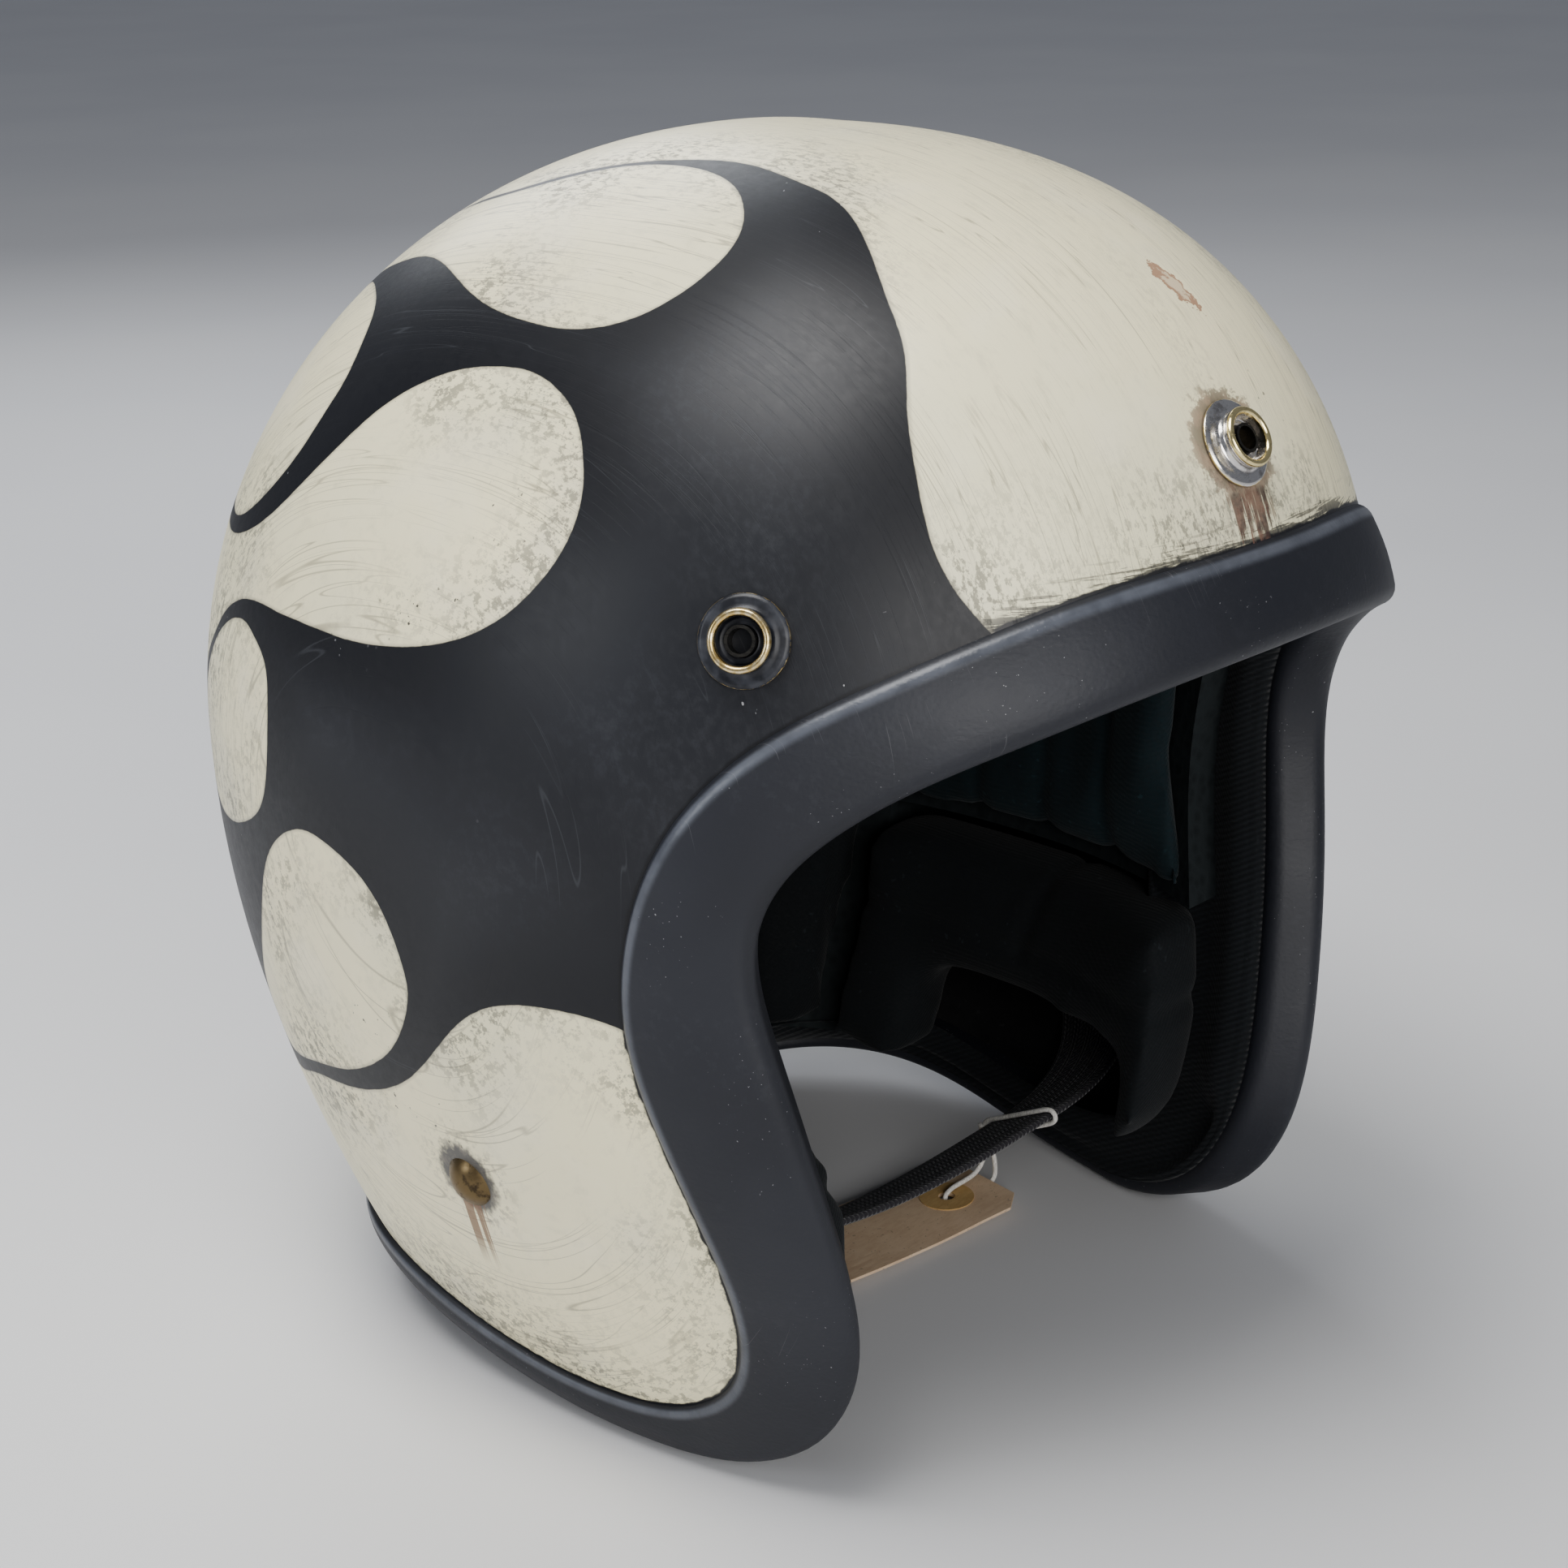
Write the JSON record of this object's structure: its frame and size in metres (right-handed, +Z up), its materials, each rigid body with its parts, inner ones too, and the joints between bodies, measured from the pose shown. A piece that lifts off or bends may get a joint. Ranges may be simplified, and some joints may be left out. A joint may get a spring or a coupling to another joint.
{
  "type": "open-face motorcycle helmet",
  "caption": "Open-face motorcycle helmet with snap studs over the brow, moulded edge trim, padded lining, riveted chin strap with D-rings and a hang tag.",
  "frame": {"origin": "on the floor, under the middle of the helmet's width and length", "axes": "+Z up, the face opening looks along -Y, the wearer's left side is +X"},
  "size_m": [0.2242, 0.2586, 0.2577],
  "materials": {
    "shell_paint": "aged cream paint with a matt navy-black side pattern over fibreglass",
    "trim_rubber": "black, finely grained",
    "foam": "dense foam, dark",
    "lining_cloth": "dark teal-black quilted cloth",
    "pad_cloth": "black padded cloth",
    "binding_knit": "black knit",
    "snap_chrome": "worn, spotted",
    "snap_black": "black paint worn to brass at the rims",
    "snap_brass": "worn brass",
    "zinc_steel": "dull plate",
    "rivet_brass": "dark, tarnished",
    "webbing": "black woven webbing",
    "ring_steel": "worn plate",
    "kraft_card": "plain kraft",
    "patch_paper": "plain",
    "cotton_string": "white, twisted"
  },
  "bodies": {
    "helmet": {"outer_shell": "shell_paint", "edge_trim": "trim_rubber", "foam_liner": "foam", "crown_lining": "lining_cloth", "headband_lining": "lining_cloth", "neck_roll": "pad_cloth", "cheek_pad_left": "pad_cloth", "cheek_pad_right": "pad_cloth", "lining_binding": "binding_knit", "snap_stud_front": "snap_chrome", "snap_stud_right": "snap_black", "snap_stud_left": "snap_black", "snap_eyelets": "snap_brass", "snap_backings": "zinc_steel", "strap_rivet_left": "rivet_brass", "strap_rivet_right": "rivet_brass", "rivet_spacers": "zinc_steel", "clench_washers": "zinc_steel"},
    "long_strap": {"strap_long": "webbing", "strap_hanger_left": "zinc_steel", "hanger_rivet_left": "zinc_steel", "keeper_snap": "snap_chrome"},
    "short_strap": {"strap_short": "webbing", "strap_hanger_right": "zinc_steel", "hanger_rivet_right": "zinc_steel"},
    "outer_ring": {"d_ring_outer": "ring_steel"},
    "inner_ring": {"d_ring_inner": "ring_steel"},
    "tag": {"hang_tag": "kraft_card", "tag_patches": "patch_paper", "tag_string": "cotton_string", "string_knot": "cotton_string"}
  },
  "joints": [
    {"name": "long_strap_swing", "type": "hinge", "parent": "helmet", "child": "long_strap", "pos_m": [0, -0.00956, 0.0606], "axis": [-1, 0, 0], "range_deg": [0, 20]},
    {"name": "short_strap_swing", "type": "hinge", "parent": "helmet", "child": "short_strap", "pos_m": [0, -0.00956, 0.0606], "axis": [-1, 0, 0], "range_deg": [-8, 20]},
    {"name": "outer_ring_swing", "type": "hinge", "parent": "short_strap", "child": "outer_ring", "pos_m": [-0.0631, -0.00956, 0.0262], "axis": [0, 1, 0], "range_deg": [0, 10]},
    {"name": "inner_ring_swing", "type": "hinge", "parent": "short_strap", "child": "inner_ring", "pos_m": [-0.0589, -0.00956, 0.0262], "axis": [0, -1, 0], "range_deg": [0, 40]},
    {"name": "tag_turn", "type": "hinge", "parent": "long_strap", "child": "tag", "pos_m": [0.048, -0.01946, 0.0167], "axis": [0, 0, 1], "range_deg": [-12, 12]}
  ]
}
